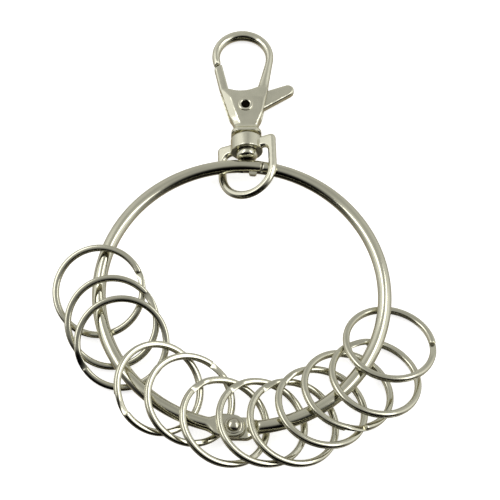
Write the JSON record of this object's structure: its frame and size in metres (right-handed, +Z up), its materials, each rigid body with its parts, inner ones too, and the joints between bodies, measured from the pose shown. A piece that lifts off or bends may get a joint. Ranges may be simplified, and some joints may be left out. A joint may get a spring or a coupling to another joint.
{
  "type": "key ring",
  "caption": "Nickel-plated hinged key ring with threaded split rings and a swivel lobster clasp that hooks it to a belt loop.",
  "frame": {"origin": "centre of the big ring's circle, on the surface that the object lies on", "axes": "+Z up, the big ring's axis; +Y from the hinge rivet to the closing joint and the clasp; +X to the right"},
  "size_m": [0.0983, 0.1265, 0.0118],
  "materials": {
    "ring": "polished nickel plate on steel wire",
    "rivet": "polished nickel plate on steel",
    "split_rings": "polished nickel plate on spring steel",
    "clasp": "tumbled and nickel-plated die casting",
    "gate": "tumbled and nickel-plated die casting",
    "spring": "bright spring wire"
  },
  "bodies": {
    "ring_left": {"ring_half_left": "ring", "hinge_rivet": "rivet"},
    "ring_right": {"ring_half_right": "ring"},
    "split_ring_01": {"split_ring_01": "split_rings"},
    "split_ring_02": {"split_ring_02": "split_rings"},
    "split_ring_03": {"split_ring_03": "split_rings"},
    "split_ring_04": {"split_ring_04": "split_rings"},
    "split_ring_05": {"split_ring_05": "split_rings"},
    "split_ring_06": {"split_ring_06": "split_rings"},
    "split_ring_07": {"split_ring_07": "split_rings"},
    "split_ring_08": {"split_ring_08": "split_rings"},
    "split_ring_09": {"split_ring_09": "split_rings"},
    "split_ring_10": {"split_ring_10": "split_rings"},
    "split_ring_11": {"split_ring_11": "split_rings"},
    "split_ring_12": {"split_ring_12": "split_rings"},
    "loop": {"swivel_loop": "clasp"},
    "clasp": {"clasp_body": "clasp", "swivel_post": "rivet", "gate_pivot": "rivet", "gate_spring": "spring"},
    "gate": {"gate_lever": "gate"}
  },
  "joints": [
    {"name": "ring_hinge", "type": "hinge", "parent": "ring_left", "child": "ring_right", "pos_m": [0, -0.03635, 0.00472], "axis": [0, 0, -1], "range_deg": [0, 60]},
    {"name": "slide_06", "type": "hinge", "parent": "ring_left", "child": "split_ring_06", "pos_m": [0, 0, 0], "axis": [0, 0, -1], "range_deg": [0, 15]},
    {"name": "slide_05", "type": "hinge", "parent": "split_ring_06", "child": "split_ring_05", "pos_m": [0, 0, 0], "axis": [0, 0, -1], "range_deg": [0, 5.5]},
    {"name": "slide_04", "type": "hinge", "parent": "split_ring_05", "child": "split_ring_04", "pos_m": [0, 0, 0], "axis": [0, 0, -1], "range_deg": [0, 5.5]},
    {"name": "slide_03", "type": "hinge", "parent": "split_ring_04", "child": "split_ring_03", "pos_m": [0, 0, 0], "axis": [0, 0, -1], "range_deg": [0, 5.5]},
    {"name": "slide_02", "type": "hinge", "parent": "split_ring_03", "child": "split_ring_02", "pos_m": [0, 0, 0], "axis": [0, 0, -1], "range_deg": [0, 5.5]},
    {"name": "slide_01", "type": "hinge", "parent": "split_ring_02", "child": "split_ring_01", "pos_m": [0, 0, 0], "axis": [0, 0, -1], "range_deg": [0, 5.5]},
    {"name": "slide_07", "type": "hinge", "parent": "ring_right", "child": "split_ring_07", "pos_m": [0, 0, 0], "axis": [0, 0, 1], "range_deg": [0, 2]},
    {"name": "slide_08", "type": "hinge", "parent": "split_ring_07", "child": "split_ring_08", "pos_m": [0, 0, 0], "axis": [0, 0, 1], "range_deg": [0, 8]},
    {"name": "slide_09", "type": "hinge", "parent": "split_ring_08", "child": "split_ring_09", "pos_m": [0, 0, 0], "axis": [0, 0, 1], "range_deg": [0, 8]},
    {"name": "slide_10", "type": "hinge", "parent": "split_ring_09", "child": "split_ring_10", "pos_m": [0, 0, 0], "axis": [0, 0, 1], "range_deg": [0, 8]},
    {"name": "slide_11", "type": "hinge", "parent": "split_ring_10", "child": "split_ring_11", "pos_m": [0, 0, 0], "axis": [0, 0, 1], "range_deg": [0, 8]},
    {"name": "slide_12", "type": "hinge", "parent": "split_ring_11", "child": "split_ring_12", "pos_m": [0, 0, 0], "axis": [0, 0, 1], "range_deg": [0, 8]},
    {"name": "loop_swing", "type": "hinge", "parent": "ring_left", "child": "loop", "pos_m": [-0.0008, 0.036, 0.00472], "axis": [1, 0, 0], "range_deg": [0, 180]},
    {"name": "clasp_swivel", "type": "hinge", "parent": "loop", "child": "clasp", "pos_m": [-0.00153, 0.04469, 0.00424], "axis": [-0.0869, 0.993, -0.0803], "continuous": true},
    {"name": "gate_pivot_turn", "type": "hinge", "parent": "clasp", "child": "gate", "pos_m": [-0.00236, 0.05417, 0.00347], "axis": [0.007, -0.08, -0.9968], "range_deg": [0, 26], "stiffness_Nm_per_rad": 0.01, "springref_deg": -17.19}
  ],
  "couplings": [
    {"joint": "slide_06", "follows": "ring_hinge", "ratio": 0.25}
  ]
}
